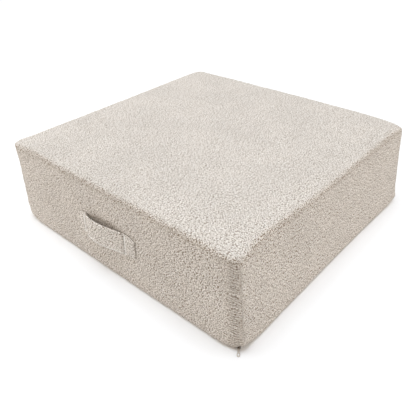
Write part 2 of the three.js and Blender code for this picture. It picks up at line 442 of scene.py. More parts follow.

    # painted shade in the pits between the knobs: less where the painted light value is above 0, more
    # in the creases of the gathers
    hollow = s["pits"]
    uneven = calc("ADD", apart, calc("MULTIPLY", calc("SUBTRACT", fuzz, 0.5), s["fuzz"]["spread"]))
    pits = mapRange(uneven, hollow["from"], hollow["to"])
    deep = mapRange(patchy, hollow["patchFrom"], hollow["patchTo"], (hollow["shallow"], 1.0))
    shadeLeft = calc("SUBTRACT", 1.0, calc("MULTIPLY", wear, hollow["shadeCleared"]))
    pits = calc("MULTIPLY", calc("MULTIPLY", pits, deep), shadeLeft)
    less = calc("SUBTRACT", 1.0, calc("MULTIPLY", pucker, hollow["lessGathered"]))
    pits = calc("MULTIPLY", pits, less)
    pits = calc("ADD", pits, calc("MULTIPLY", pucker, hollow["alwaysGathered"]))
    pits = calc("SUBTRACT", pits, calc("MULTIPLY", creaseDepth, folds["dark"]), True)

    # painted highlights on the pale tops of the loops, some paler than others, more where the painted
    # light value is above 0
    pale = s["tops"]
    chosen = nodes.new("ShaderNodeSeparateColor")
    links.new(leaning.outputs["Color"], chosen.inputs[0])
    tops = mapRange(uneven, pale["from"], pale["to"], (1.0, 0.0))
    paler = mapRange(chosen.outputs[0], pale["toneFrom"], pale["toneTo"], (pale["dullest"], 1.0))
    tops = calc("MULTIPLY", tops, paler)
    tops = calc("ADD", tops, calc("MULTIPLY", wear, pale["wearAndHighlight"]), True)

    # broad unevenness of the dye
    broad = noiseOf(place, s["mottle"]["scale"], s["mottle"]["detail"])
    broad = mapRange(broad, s["mottle"]["from"], s["mottle"]["to"], (-1.0, 1.0))
    shade = calc("ADD", calc("MULTIPLY", broad, given.outputs["Mottle"]), 1.0)
    colour = mixed(tops, given.outputs["Yarn"], given.outputs["Loop tops"])
    colour = mixed(pits, colour, given.outputs["Pits"])
    grey = nodes.new("ShaderNodeCombineColor")
    for name in ("Red", "Green", "Blue"):
        links.new(shade, grey.inputs[name])
    colour = mixed(1.0, colour, grey.outputs[0], "MULTIPLY")
    links.new(colour, out.inputs["Colour"])
    links.new(height, out.inputs["Height"])
    links.new(pits, out.inputs["Pit mask"])
    return group


boucleGroup = makeBoucleGroup(weaveSettings)


def clothMaterial(name, s):
    material = bpy.data.materials.new(name)
    tree = emptyTree(material)
    link = tree.links.new

    def meshValue(attribute):
        node = tree.nodes.new("ShaderNodeAttribute")
        node.attribute_name = attribute
        return node

    out = tree.nodes.new("ShaderNodeOutputMaterial")
    cloth = tree.nodes.new("ShaderNodeBsdfPrincipled")
    weave = tree.nodes.new("ShaderNodeGroup")
    weave.node_tree = boucleGroup
    weave.name = weave.label = "boucle weave"
    place = meshValue("clothPlace")
    pucker = meshValue("pucker")
    wear = meshValue("wear")
    bump = tree.nodes.new("ShaderNodeBump")
    rough = tree.nodes.new("ShaderNodeMapRange")
    setInputs(weave, {
        "Knobs per metre": 1 / s["knob"], "Yarn": s["yarn"], "Loop tops": s["loopTops"],
        "Pits": s["pits"], "Mottle": s["mottle"],
    })
    setInputs(bump, {"Strength": 1.0, "Distance": s["relief"]})
    setInputs(rough, {"To Min": s["roughTop"], "To Max": s["roughPit"]})
    setInputs(cloth, {
        "Specular IOR Level": s["specular"], "Sheen Weight": s["sheen"],
        "Sheen Roughness": s["sheenRough"],
    })
    link(place.outputs["Vector"], weave.inputs["Place"])
    link(pucker.outputs["Fac"], weave.inputs["Pucker"])
    link(wear.outputs["Fac"], weave.inputs["Wear"])
    link(weave.outputs["Colour"], cloth.inputs["Base Color"])
    link(weave.outputs["Height"], bump.inputs["Height"])
    link(bump.outputs[0], cloth.inputs["Normal"])
    link(weave.outputs["Pit mask"], rough.inputs["Value"])
    link(rough.outputs[0], cloth.inputs["Roughness"])
    link(cloth.outputs[0], out.inputs["Surface"])
    return material


cushionSettings = {  # lengths in millimetres
    "width": 633, "depth": 600, "height": 195,
    "footSpread": 0.0245, "crown": 5, "crownPower": 4, "crownFade": 4,
    "topEdge": 10.5, "footEdge": 9, "footCornerExtra": 8, "footCornerReach": 60, "footCornerGain": 1.6,
    "cornerTop": 26, "cornerFoot": 29, "cornerGain": 1.6,
    # bow of the upper edge and of the foot, how far the waist draws in, and how far the foot
    # spreads at the wall's two ends
    "walls": {
        "front": {"axis": "y", "side": -1, "upper": -0.8, "foot": 1.2, "waist": 2.5, "spread": (0, 0)},
        "right": {"axis": "x", "side": 1, "upper": 0, "foot": 0.4, "waist": 6.0, "spread": (1.4, 9.0)},
        "back": {"axis": "y", "side": 1, "upper": 3.0, "foot": 1.0, "waist": 1.5, "spread": (0, -17)},
        "left": {"axis": "x", "side": -1, "upper": -1.0, "foot": 1.5, "waist": 1.5, "spread": (0, 0)},
    },
    "wallFade": 6, "spreadPower": 4,
    # how far the upper end pokes out and sags, the waist draws in and the foot pokes out, and how
    # much of the slant beside the seam is there
    "corners": {
        "frontLeft": {"x": -1, "y": -1, "ear": 5.0, "sag": 0, "waist": 0, "foot": 0, "slant": 0.4},
        "frontRight": {"x": 1, "y": -1, "ear": 0.5, "sag": 4.0, "waist": 0, "foot": 0, "slant": 1.0},
        "backRight": {"x": 1, "y": 1, "ear": 0.5, "sag": 5.0, "waist": 3.0, "foot": 1.0, "slant": 1.0},
        "backLeft": {"x": -1, "y": 1, "ear": 1.0, "sag": 1.5, "waist": 0, "foot": 0, "slant": 1.0},
    },
    "cornerReach": 48, "cornerReachDown": 34, "cornerReachUp": 9,
    # where the upper edge is drawn in and lifts beside a corner
    "rimPulls": {
        "right": {"axis": "x", "side": 1, "at": -230, "reach": (36, 108), "pull": 5.2, "lift": 5.0},
        "front": {"axis": "y", "side": -1, "at": -235, "reach": (50, 70), "pull": 2.2, "lift": 2.2},
    },
    "liftFade": 4,
    "slantReach": 43, "slantTurn": 0.35, "slantFadeFoot": 12, "slantFadeTop": 16,
    "edgeLines": [0, 1.2, 2.4, 3.6, 4.8, 6.5, 9, 13, 18, 24, 30],
    "heightLinesTop": [0, 4, 8, 12, 17, 23],
    "heightLinesFoot": [0, 2.5, 5, 8, 12, 18],
    "spansAcross": 64, "spansDeep": 60, "spansHigh": 20,
    "seamFromCorner": 3.6, "seamTurn": 49, "seamFade": 22, "seamStartFoot": 14, "seamStartTop": 10,
    "seamDepth": 0.15, "seamWidth": 1.5,
    "ridgeAt": 2.4, "ridgeWidth": 1.6, "ridgeHeight": 0.5,
    "rimRoll": 1.1, "rimAt": 8, "rimReach": 8, "rimRollFrom": 0.6,
    "lumps": 0.5, "lumpSize": 70, "smallLumpSize": 31, "smallLumps": 0.5,
    "knobRelief": 0.2, "knobSize": 6.5, "freeFrom": 6,
    "puckerDepth": 1.2, "puckerAt": -14, "puckerReach": 13, "puckerPast": 15,
    "creaseSize": 7.5, "creaseStretch": (0.4, 0.4, 1),
    "gatherHigh": 20, "gatherReach": 34,
    "rimPucker": 0.9, "rimPuckerAt": 4, "rimPuckerReach": 6,
    # painted shade in a band just under the upper edge; painted light over the top face, fading down
    # the walls, and painted highlight on the ridge beside each upright seam
    "rimRough": 1.0, "rimRoughAt": 6, "rimRoughReach": 7,
    "rimWear": 0.25, "rimWearHigh": 8, "ridgeWear": 0.25,
    "strapDent": {
        "middle": -12, "halfLength": 62, "height": 108, "fadeUp": 17, "fadeDown": 34,
        "depth": 3.2, "frontFrom": 290, "power": 1.5,
    },
    "zipLift": {
        "mouth": (312.6, -294.8), "turn": -54, "inner": -13, "innerFade": 3.5, "outer": 30,
        "shift": 6, "halfWidth": 9.5, "lift": 9.0, "fadeUp": 18,
    },
    "cover": {  # cloth simulation of the cover
        "frames": 20, "quality": 5, "pressure": 4,
        "stretch": 15, "shear": 5, "bend": 0.1,
        "foamHold": 0.3, "seamHold": 0.02,
        "spareEverywhere": 0.005, "spareAtSeams": 0.06, "spareReach": 26,
        "startInside": 0.5, "furthest": 2,
    },
    "knob": 2.3 * mm, "relief": 0.95 * mm,
    # pits is painted shade in the hollows between the knobs, and loopTops is painted highlight on the
    # loop tops
    "yarn": srgb(231, 223, 214), "loopTops": srgb(244, 244, 242), "pits": srgb(122, 104, 82),
    "mottle": 0.03, "roughTop": 0.85, "roughPit": 1.0,
    "specular": 0.15, "sheen": 0.05, "sheenRough": 0.6,
}

faceEdge = 0.5  # a point of the box this near to its top or base, in millimetres, isn't on a wall
sameWithin = 1e-6
tiny = 1e-9
diagonal = math.sqrt(0.5)  # what a diagonal move is along x and along y


def gridLines(half, lowLines, highLines, spans):
    low = [-half + d for d in lowLines]
    high = [half - d for d in reversed(highLines)]
    between = np.linspace(low[-1], high[0], spans + 1)[1:-1]
    return [*low, *between, *high]


def roundEdge(inset, depth, radius):
    # the inset from a wall and the depth from a face become an arc
    inside = (inset < radius) & (depth < radius)
    quarter = math.pi / 4
    turn = np.where(depth > 0, quarter * (1 + depth / radius), quarter * (1 - inset / radius))
    arcInset = radius * (1 - np.sin(turn))
    arcDepth = radius * (1 - np.cos(turn))
    return np.where(inside, arcInset, inset), np.where(inside, arcDepth, depth)


def roundedShape(box, s):
    # moves points of the plain box to their places on a filled block with round corners
    halfX, halfY, high = s["width"] / 2, s["depth"] / 2, s["height"]
    x, y, z = box.T
    share = z / high
    gained = np.minimum(1, s["cornerGain"] * share)
    radius = s["cornerFoot"] + (s["cornerTop"] - s["cornerFoot"]) * gained
    insideX = np.clip(x, -(halfX - radius), halfX - radius)
    insideY = np.clip(y, -(halfY - radius), halfY - radius)
    far = np.maximum(abs(x - insideX), abs(y - insideY))
    length = np.hypot(x - insideX, y - insideY)
    length = np.where(length > 0, length, 1)
    outX, outY = (x - insideX) / length, (y - insideY) / length

    nearX = np.maximum(0, 1 - (halfX - abs(x)) / s["footCornerReach"])
    nearY = np.maximum(0, 1 - (halfY - abs(y)) / s["footCornerReach"])
    cornerShare = np.minimum(1, nearX * nearY * s["footCornerGain"])
    nearTop = z > high / 2
    edge = np.where(nearTop, s["topEdge"], s["footEdge"] + s["footCornerExtra"] * cornerShare)
    inset, depth = roundEdge(radius - far, np.where(nearTop, high - z, z), edge)
    px = insideX + outX * (radius - inset)
    py = insideY + outY * (radius - inset)
    pz = np.where(nearTop, high - depth, depth)

    acrossX = np.minimum(1, abs(px) / halfX)
    acrossY = np.minimum(1, abs(py) / halfY)
    level = pz / high
    power = s["crownPower"]
    pz = pz + s["crown"] * (1 - acrossX ** power) * (1 - acrossY ** power) * level ** s["crownFade"]

    for wall in s["walls"].values():
        acrossWall = wall["axis"] == "x"
        towards = wall["side"] * (px / halfX if acrossWall else py / halfY)
        along = np.clip(py / halfY if acrossWall else px / halfX, -1, 1)
        rise = np.minimum(1, level)
        bow = wall["foot"] + (wall["upper"] - wall["foot"]) * rise
        offset = (1 - along ** 2) ** 2 * (bow - wall["waist"] * 4 * rise * (1 - rise))
        nearEnd, farEnd = wall["spread"]
        toEnd = ((1 + along) / 2) ** s["spreadPower"]
        offset = offset + (nearEnd + (farEnd - nearEnd) * toEnd) * (1 - rise) ** 2
        moved = wall["side"] * offset * np.maximum(0, towards) ** s["wallFade"]
        px = px + (moved if acrossWall else 0)
        py = py + (0 if acrossWall else moved)

    for pull in s["rimPulls"].values():
        acrossWall = pull["axis"] == "x"
        towards = np.maximum(0, pull["side"] * (px / halfX if acrossWall else py / halfY))
        along = (py if acrossWall else px) - pull["at"]
        near = hump(along, np.where(along < 0, pull["reach"][0], pull["reach"][1]))
        moved = -pull["side"] * pull["pull"] * near * towards ** s["wallFade"]
        moved = moved * np.minimum(1, level) ** 2
        px = px + (moved if acrossWall else 0)
        py = py + (0 if acrossWall else moved)
        pz = pz + pull["lift"] * near * towards ** s["liftFade"] * level ** s["liftFade"]

    for corner in s["corners"].values():
        away = (px - corner["x"] * halfX) ** 2 + (py - corner["y"] * halfY) ** 2
        near = np.exp(-away / s["cornerReach"] ** 2)
        nearTop = near * hump(high - pz, s["cornerReachDown"])
        nearFoot = near * hump(pz, s["cornerReachUp"])
        middle = near * np.clip(4 * level * (1 - level), 0, 1)
        poke = corner["ear"] * nearTop + corner["foot"] * nearFoot - corner["waist"] * middle
        poke = poke * diagonal
        px = px + corner["x"] * poke
        py = py + corner["y"] * poke
        pz = pz - corner["sag"] * nearTop

    # the side walls run straight to the upright seams, where the front and back cloth curves in
    turn = np.arctan2(abs(outX), abs(outY))
    inArc = (abs(x) > abs(insideX)) & (abs(y) > abs(insideY)) & (far > 0)
    seamTurn = math.radians(s["seamTurn"])
    past = radius * (1 - np.sin(np.maximum(turn, seamTurn)))
    before = radius * (1 - math.sin(seamTurn)) * (np.minimum(turn, seamTurn) / seamTurn) ** 2
    fade = np.clip((high - pz) / s["seamFade"], 0, 1)
    px = px + np.where(inArc, np.sign(x) * np.where(turn > seamTurn, past, before) * fade, 0)

    # the cloth rolls out a little just under the upper edge
    roll = s["rimRoll"] * hump(high - s["rimAt"] - pz, s["rimReach"])
    onSide = np.clip((far - radius * s["rimRollFrom"]) / (radius * (1 - s["rimRollFrom"])), 0, 1)
    px = px + outX * roll * onSide
    py = py + outY * roll * onSide
    wider = 1 + s["footSpread"] * (1 - np.minimum(high, pz) / high)
    return np.stack([px * wider, py * wider, pz], axis=1)


def filledShape(box, s):
    # the front and back cloth slants flat to the upright seams
    shape = roundedShape(box, s)
    halfX, halfY, high = s["width"] / 2, s["depth"] / 2, s["height"]
    turned, fromSeam, reach = s["slantTurn"], seamDistance(box, s), s["slantReach"]
    start, end = box.copy(), box.copy()
    start[:, 0] = np.sign(box[:, 0]) * (halfX - reach + s["seamFromCorner"])
    start[:, 1] = np.sign(box[:, 1]) * halfY
    end[:, 0] = np.sign(box[:, 0]) * halfX
    end[:, 1] = np.sign(box[:, 1]) * (halfY - s["seamFromCorner"])
    start, end = roundedShape(start, s), roundedShape(end, s)
    along = np.clip(1 + fromSeam / reach, 0, 1)
    inward = np.where(along < turned, along ** 2, 2 * turned * along - turned ** 2)
    inward = inward / (2 * turned - turned ** 2)
    fade = np.minimum(box[:, 2] / s["slantFadeFoot"], (high - box[:, 2]) / s["slantFadeTop"])
    fade = np.clip(fade, 0, 1) * ((fromSeam < 0) & (fromSeam > -reach))
    fade = fade * sum(
        corner["slant"] * (box[:, 0] * corner["x"] > 0) * (box[:, 1] * corner["y"] > 0)
        for corner in s["corners"].values()
    )
    slantX = start[:, 0] + (end - start)[:, 0] * along
    slantY = start[:, 1] + (end - start)[:, 1] * inward
    shape[:, 0] += (slantX - shape[:, 0]) * fade
    shape[:, 1] += (slantY - shape[:, 1]) * fade
    return shape


def boxGrid(s):
    # points of a plain box's skin and its faces, each with the side that it is on
    halfX, halfY, halfZ = s["width"] / 2, s["depth"] / 2, s["height"] / 2
    xs = gridLines(halfX, s["edgeLines"], s["edgeLines"], s["spansAcross"])
    ys = gridLines(halfY, s["edgeLines"], s["edgeLines"], s["spansDeep"])
    zs = gridLines(halfZ, s["heightLinesFoot"], s["heightLinesTop"], s["spansHigh"])
    zs = [z + halfZ for z in zs]
    nx, ny, nz = len(xs) - 1, len(ys) - 1, len(zs) - 1
    index, points, faces, sides = {}, [], [], []

    def at(i, j, k):
        if (i, j, k) not in index:
            index[i, j, k] = len(points)
            points.append((xs[i], ys[j], zs[k]))
        return index[i, j, k]

    for i in range(nx):
        for j in range(ny):
            faces.append((at(i, j, 0), at(i, j + 1, 0), at(i + 1, j + 1, 0), at(i + 1, j, 0)))
            faces.append((at(i, j, nz), at(i + 1, j, nz), at(i + 1, j + 1, nz), at(i, j + 1, nz)))
            sides += [0, 1]
    for k in range(nz):
        for i in range(nx):
            faces.append((at(i, 0, k), at(i + 1, 0, k), at(i + 1, 0, k + 1), at(i, 0, k + 1)))
            faces.append((at(i, ny, k), at(i, ny, k + 1), at(i + 1, ny, k + 1), at(i + 1, ny, k)))
            sides += [2, 3]
        for j in range(ny):
            faces.append((at(0, j, k), at(0, j, k + 1), at(0, j + 1, k + 1), at(0, j + 1, k)))
            faces.append((at(nx, j, k), at(nx, j + 1, k), at(nx, j + 1, k + 1), at(nx, j, k + 1)))
            sides += [4, 5]
    return np.array(points), faces, sides


def seamDistance(box, s):
    # how far a point is from the nearest upright seam: below 0 on the front or back wall's cloth
    halfX, halfY = s["width"] / 2, s["depth"] / 2
    inX, inY = halfX - abs(box[:, 0]), halfY - abs(box[:, 1])
    along = np.where(inY < inX, -inX, inY)
    return along - s["seamFromCorner"]


def wallPoints(box, s):
    return (box[:, 2] > faceEdge) & (box[:, 2] < s["height"] - faceEdge)


def clothPlaces(box, corners, sides, s):
    # each face corner's place in the cloth before it was sewn: the walls hang from the top panel
    halfX, halfY, high = s["width"] / 2, s["depth"] / 2, s["height"]
    x, y, z = box[corners].T
    down = high - z
    signX, signY = np.sign(x), np.sign(y)
    place = np.stack([x, y, np.zeros_like(x)], axis=1)
    fromCorner = halfY - abs(y)
    wrapped = np.isin(sides, (4, 5)) & (fromCorner <= s["seamFromCorner"] + sameWithin)
    for side, axis, sign in ((2, 1, -1), (3, 1, 1), (4, 0, -1), (5, 0, 1)):
        here = sides == side
        half = halfX if axis == 0 else halfY
        place[here, axis] = sign * (half + down[here])
    place[wrapped, 0] = signX[wrapped] * (halfX + fromCorner[wrapped])
    place[wrapped, 1] = signY[wrapped] * (halfY + down[wrapped])
    place[sides == 0, 0] += 3 * s["width"]  # the base is cut from a stretch of its own
    return place * mm


def dentBehindStrap(points, box, s):
    # the front wall gives way behind the carrying strap, most at the loop's upper edge
    along = (points[:, 0] - s["middle"]) / s["halfLength"]
    above = points[:, 2] - s["height"]
    rise = above / np.where(above > 0, s["fadeUp"], s["fadeDown"])
    near = np.clip(1 - along ** 2, 0, 1) ** s["power"] * np.exp(-rise ** 2)
    near = near * (box[:, 1] < -s["frontFrom"])
    points[:, 1] += s["depth"] * near
    return points


def liftOverZip(points, s):
    # the cloth's foot lifts in a small arch over the zip's slider
    turn = math.radians(s["turn"])
    fromX, fromY = points[:, 0] - s["mouth"][0], points[:, 1] - s["mouth"][1]
    along = fromX * math.cos(turn) + fromY * math.sin(turn)
    across = -fromX * math.sin(turn) + fromY * math.cos(turn)
    inward = np.clip((along - s["inner"]) / s["innerFade"], 0, 1)
    arch = s["lift"] * np.exp(-((across - s["shift"]) / s["halfWidth"]) ** 4)
    arch = arch * inward * (along < s["outer"])
    spare = np.clip(1 - points[:, 2] / s["fadeUp"], 0, 1)
    points[:, 2] += arch * spare
    return points


def settleCover(cushion, box, s):
    # the cover is sewn with spare cloth along its upright seams, and the filling pushes it out
    cover = s["cover"]
    mesh = cushion.data
    fitted, normals = meshPoints(mesh), meshNormals(mesh)
    onBase = box[:, 2] < faceEdge
    nearSeam = hump(seamDistance(box, s), cover["spareReach"]) * wallPoints(box, s)
    hold = cover["foamHold"] + (cover["seamHold"] - cover["foamHold"]) * nearSeam
    hold = np.where(onBase, 1, hold)
    setMeshPoints(mesh, fitted - normals * (cover["startInside"] * mm * ~onBase)[:, None])
    held = cushion.vertex_groups.new(name="held by the foam")
    spare = cushion.vertex_groups.new(name="spare cloth")
    for i in range(len(box)):
        held.add([i], float(hold[i]), "REPLACE")
        spare.add([i], float(nearSeam[i]), "REPLACE")
    cloth = cushion.modifiers.new("cover", "CLOTH")
    cloth.settings.quality = cover["quality"]
    cloth.settings.tension_stiffness = cloth.settings.compression_stiffness = cover["stretch"]
    cloth.settings.shear_stiffness = cover["shear"]
    cloth.settings.bending_stiffness = cover["bend"]
    cloth.settings.use_pressure = True
    cloth.settings.uniform_pressure_force = cover["pressure"]
    cloth.settings.effector_weights.gravity = 0
    cloth.settings.vertex_group_mass = held.name
    cloth.settings.vertex_group_shrink = spare.name
    cloth.settings.shrink_min = -cover["spareEverywhere"]
    cloth.settings.shrink_max = -cover["spareAtSeams"]
    cloth.point_cache.frame_start, cloth.point_cache.frame_end = 1, cover["frames"]
    for number in range(1, cover["frames"] + 1):
        bpy.context.scene.frame_set(number)
    applyModifiers(cushion)
    bpy.context.scene.frame_set(1)
    moved = meshPoints(cushion.data) - fitted
    length = np.linalg.norm(moved, axis=1)
    capped = np.minimum(1, cover["furthest"] * mm / np.maximum(length, tiny))
    setMeshPoints(cushion.data, fitted + moved * (capped * ~onBase)[:, None])
    print("cover settled: moved", round(float(length.mean() / mm), 2), "mm on average")


def coverDetail(box, s):
    # how strongly each point of the cover shows its seam groove, ridge, gathers and rim
    onWall = wallPoints(box, s)
    fromSeam = seamDistance(box, s)
    fromTop = s["height"] - box[:, 2]
    upright = np.minimum(box[:, 2] / s["seamStartFoot"], fromTop / s["seamStartTop"])
    upright = np.clip(upright, 0, 1)
    groove = hump(fromSeam, s["seamWidth"]) * upright * onWall
    ridge = hump(fromSeam - s["ridgeAt"], s["ridgeWidth"]) * upright * onWall
    fromPucker = fromSeam - s["puckerAt"]
    band = hump(fromPucker, np.where(fromPucker < 0, s["puckerReach"], s["puckerPast"]))
    band = band * upright * onWall
    atFoot = hump(box[:, 2], s["gatherHigh"]) * hump(fromSeam, s["gatherReach"]) * onWall
    gathered = np.maximum(band, atFoot)
    inset = np.minimum(s["width"] / 2 - abs(box[:, 0]), s["depth"] / 2 - abs(box[:, 1]))
    overRim = fromTop - inset  # 0 along the upper edge, above 0 down the wall
    return groove, ridge, gathered, overRim


def makeCushion(s):
    box, faces, sides = boxGrid(s)
    cushion = newMesh("padded_cushion", filledShape(box, s) * mm, faces)
    addAttribute(cushion.data, "boxPlace", "FLOAT_VECTOR", "POINT", box)
    addAttribute(cushion.data, "side", "FLOAT", "FACE", np.array(sides, dtype=float))
    settleCover(cushion, box, s)
    soften(cushion)
    mesh = cushion.data

    # seams, gathers and lumps of the filling
    box = readAttribute(mesh, "boxPlace", 3)
    points, normals = meshPoints(mesh) / mm, meshNormals(mesh)
    groove, ridge, gathered, overRim = coverDetail(box, s)
    rim = s["rimPucker"] * hump(overRim - s["rimPuckerAt"], s["rimPuckerReach"])
    lumps = noiseAt(points, s["lumpSize"], seed=1)
    lumps = lumps + s["smallLumps"] * noiseAt(points, s["smallLumpSize"], seed=2)
    knobs = noiseAt(points, s["knobSize"], seed=3)
    creases = noiseAt(points * np.array(s["creaseStretch"]), s["creaseSize"], seed=4)
    free = np.clip(points[:, 2] / s["freeFrom"], 0, 1)
    move = (
        s["lumps"] * lumps
        + s["knobRelief"] * knobs
        + s["puckerDepth"] * creases * np.maximum(gathered, rim)
        - s["seamDepth"] * groove
        + s["ridgeHeight"] * ridge
    ) * free
    points = points + normals * move[:, None]
    points[:, 2] = np.maximum(points[:, 2], 0)
    points = dentBehindStrap(points, box, s["strapDent"])
    points = liftOverZip(points, s["zipLift"])
    setMeshPoints(mesh, points * mm)

    # what the cloth's material reads from the mesh
    counts = np.zeros(len(mesh.polygons), dtype=np.int32)
    mesh.polygons.foreach_get("loop_total", counts)
    faceSides = np.rint(readAttribute(mesh, "side")).astype(int)
    places = clothPlaces(box, meshCorners(mesh), np.repeat(faceSides, counts), s)
    addAttribute(mesh, "clothPlace", "FLOAT_VECTOR", "CORNER", places)
    # the gathers' mask: the material flattens the knobs there and paints shade into the creases of the
    # gathers
    addAttribute(mesh, "pucker", "FLOAT", "POINT", np.clip(gathered, 0, 1))
    # painted light for the material: painted highlight over the top face, fading out down the walls,
    # and along the ridge beside each upright seam; painted shade, below 0, in a band just under the
    # upper edge
    wear = s["rimWear"] * (box[:, 2] - s["height"] + s["rimWearHigh"]) / s["rimWearHigh"]
    wear = np.clip(wear, 0, 1)
    rough = s["rimRough"] * hump(overRim - s["rimRoughAt"], s["rimRoughReach"])
    wear = np.clip(wear + s["ridgeWear"] * ridge - rough, -1, 1)
    addAttribute(mesh, "wear", "FLOAT", "POINT", wear)
    mesh.attributes.remove(mesh.attributes["side"])
    mesh.attributes.remove(mesh.attributes["boxPlace"])
    cushion.data.materials.append(clothMaterial("boucle cover", s))
    return cushion


cushion = makeCushion(cushionSettings)
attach(cushion, "root")
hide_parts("cushion")
print("cushion made")


strapSettings = {  # lengths in millimetres
    "middle": -10, "loop": 114, "ends": (24, 30), "width": 47.5, "foot": 69.5,
    "tilt": 0.033, "thickness": 3.2, "seat": 0.1, "lift": 8.3, "skew": 0.707, "sag": 0.8,
    "twist": 0.22, "twistReach": 60,
    "rowStep": 3.6, "acrossSpans": 24, "edgeSpans": 4, "tabSpans": 3,
    "stitchLines": [-9, -6.5, -4.5, -3, -1.8, -0.8, 0, 0.8, 1.8, 3, 4.5, 6.5, 9],
    "endLines": [6, 3.5, 1.8, 0.8, 0.2, 0],
    # where the ends of the loop are stitched down
    "crease": 0.9, "creaseWidth": 1.5, "bulge": 0.45, "bulgeAt": -6, "bulgeWidth": 3,
    "tabInner": 4.2, "tabOuter": 4.0, "tabSlope": 0.8, "tabRound": 3.4, "tabEdge": 0.12,
    "endDrop": 7, "leftEndDrop": 0.25,
    "upperFlat": 0.6, "upperFlatFrom": 0.6, "upperFlatRate": 4,
    "pillow": 0.55, "pillowRate": 3, "pillowPower": 5,
    "hemRoll": 0.6, "hemRollAt": 3.2, "hemRollWidth": 2.4,
    "hemGroove": 0.5, "hemGrooveAt": 7, "hemGrooveWidth": 1.3,
    "middleGroove": 0.55, "middleGrooveWidth": 3,
    "knobRelief": 0.3, "knobSize": 4,
    "wrinkle": 0.7, "wrinkleSize": 7, "wrinkleStretch": (0.5, 1, 1), "wrinkleEverywhere": 0.35,
    "stitchReach": 14, "frontFade": 2,
    # painted highlights along the lower hem and on the folds of the stitched ends; the puckers paint
    # shade into the creases where the ends are stitched down
    "hemAt": 2.2, "hemWidth": 2.4, "hemEnd": 1, "hemWear": 0.9,
    "foldAt": 4.6, "foldWidth": 2.4, "foldWear": 0.9,
    "creasePucker": 1.2, "stitchPucker": 0.3,
    "cutFrom": (2, 2, 0),  # metres away from the cushion's own cloth
    "knob": 2.4 * mm, "relief": 1.2 * mm,
    # pits is painted shade in the hollows between the knobs, and loopTops is painted highlight on the
    # loop tops
    "yarn": srgb(241, 234, 226), "loopTops": srgb(250, 250, 248), "pits": srgb(124, 108, 88),
    "mottle": 0.03, "roughTop": 0.85, "roughPit": 1.0,
    "specular": 0.15, "sheen": 0.05, "sheenRough": 0.6,
}


def frontWallPlace(x, z, s):
    # the front wall's surface at a place along it and a height
    wall = s["walls"]["front"]
    rise = z / s["height"]
    wider = 1 + s["footSpread"] * (1 - rise)
    along = x / (s["width"] / 2) / wider
    bow = wall["foot"] + (wall["upper"] - wall["foot"]) * rise
    offset = (1 - along ** 2) ** 2 * (bow - wall["waist"] * 4 * rise * (1 - rise))
    return -(s["depth"] / 2 + offset) * wider


def strapStandOff(along, s):
    u = (along + s["loop"] / 2) / s["loop"]
    if not 0 < u < 1:
        return s["seat"]
    return s["seat"] + s["lift"] * math.sin(math.pi * u ** s["skew"])


def strapRows(s):
    # places along the strap, closer together at its ends and where it is stitched down
    crease, nearStitch, nearEnd = s["loop"] / 2, s["stitchLines"], s["endLines"]
    sides = []
    for end in s["ends"]:
        between = np.linspace(nearStitch[-1], end - nearEnd[0], s["tabSpans"] + 1)[1:-1]
        middle = [float(v) for v in between]
        side = [crease + d for d in nearStitch + middle]
        sides.append(side + [crease + end - d for d in nearEnd])
    left, right = sides
    spans = round(2 * right[0] / s["rowStep"])
    between = np.linspace(-right[0], right[0], spans + 1)[1:-1]
    return [-d for d in reversed(left)] + [float(v) for v in between] + right


def strapEnd(along, s):
    return s["ends"][1 if along > 0 else 0]


def strapThickness(along, s):
    past = abs(along) - s["loop"] / 2
    pinch = 1 - s["crease"] * humpOf(past, s["creaseWidth"])
    if past <= 0:
        bulge = 1 + s["bulge"] * humpOf(past - s["bulgeAt"], s["bulgeWidth"])
        return s["thickness"] * pinch * bulge
    end = strapEnd(along, s)
    u = min(1, past / (end * s["tabSlope"]))
    thick = s["tabInner"] + (s["tabOuter"] - s["tabInner"]) * u * u * (3 - 2 * u)
    toEnd = min(1, (end - past) / s["tabRound"])
    thick *= s["tabEdge"] + (1 - s["tabEdge"]) * math.sqrt(max(0, 1 - (1 - toEnd) ** 2))
    return thick * pinch


def strapSection(s):
    # once round the strap's section: share across it, and -1 at its back to 1 at its front
    edge = s["thickness"] / 2 / s["width"]
    inner = [float(v) for v in np.linspace(edge, 1 - edge, s["acrossSpans"] + 1)]
    turns = [math.pi * i / s["edgeSpans"] for i in range(1, s["edgeSpans"])]
    section = [(share, 1.0) for share in inner]
    section += [(1 - edge + edge * math.sin(t), math.cos(t)) for t in turns]
    section += [(share, -1.0) for share in reversed(inner)]
    section += [(edge - edge * math.sin(t), -math.cos(t)) for t in turns]
    return section


def strapPoint(along, across, through, s, wall):
    # a point of the strap: along it, share across it, and -1 at its back to 1 at its front
    stand = strapStandOff(along, s)
    untwisted = min(1, max(0, along / s["twistReach"]))
    stand += (stand - s["seat"]) * s["twist"] * (1 - across) * (1 - untwisted)
    thick = strapThickness(along, s)
    past = max(0.0, (abs(along) - s["loop"] / 2) / strapEnd(along, s))
    onTab = min(1, past * s["pillowRate"])
    pillow = 1 - s["pillow"] * onTab * abs(2 * across - 1) ** s["pillowPower"]
    fromEdge = min(across, 1 - across) * s["width"]
    fromMiddle = (across - 0.5) * s["width"]
    rise = s["hemRoll"] * humpOf(fromEdge - s["hemRollAt"], s["hemRollWidth"])
    rise -= s["hemGroove"] * humpOf(fromEdge - s["hemGrooveAt"], s["hemGrooveWidth"])
    rise -= s["middleGroove"] * humpOf(fromMiddle, s["middleGrooveWidth"])
    rise *= max(0, through) * min(1, thick / s["thickness"])
    upper = min(1, max(0, (across - s["upperFlatFrom"]) / (1 - s["upperFlatFrom"])))
    flat = 1 - s["upperFlat"] * min(1, s["upperFlatRate"] * past) * upper ** 2
    off = stand + thick * pillow * flat * (1 + through) / 2 + rise
    drop = s["endDrop"] * past ** 2 * (across ** 2 if along > 0 else s["leftEndDrop"] * across)
    sag = s["sag"] * (stand - s["seat"]) / s["lift"]
    z = s["foot"] + across * s["width"] + s["tilt"] * along - sag - drop
    x = s["middle"] + along
    return (x, frontWallPlace(x, z, wall) - off, z)


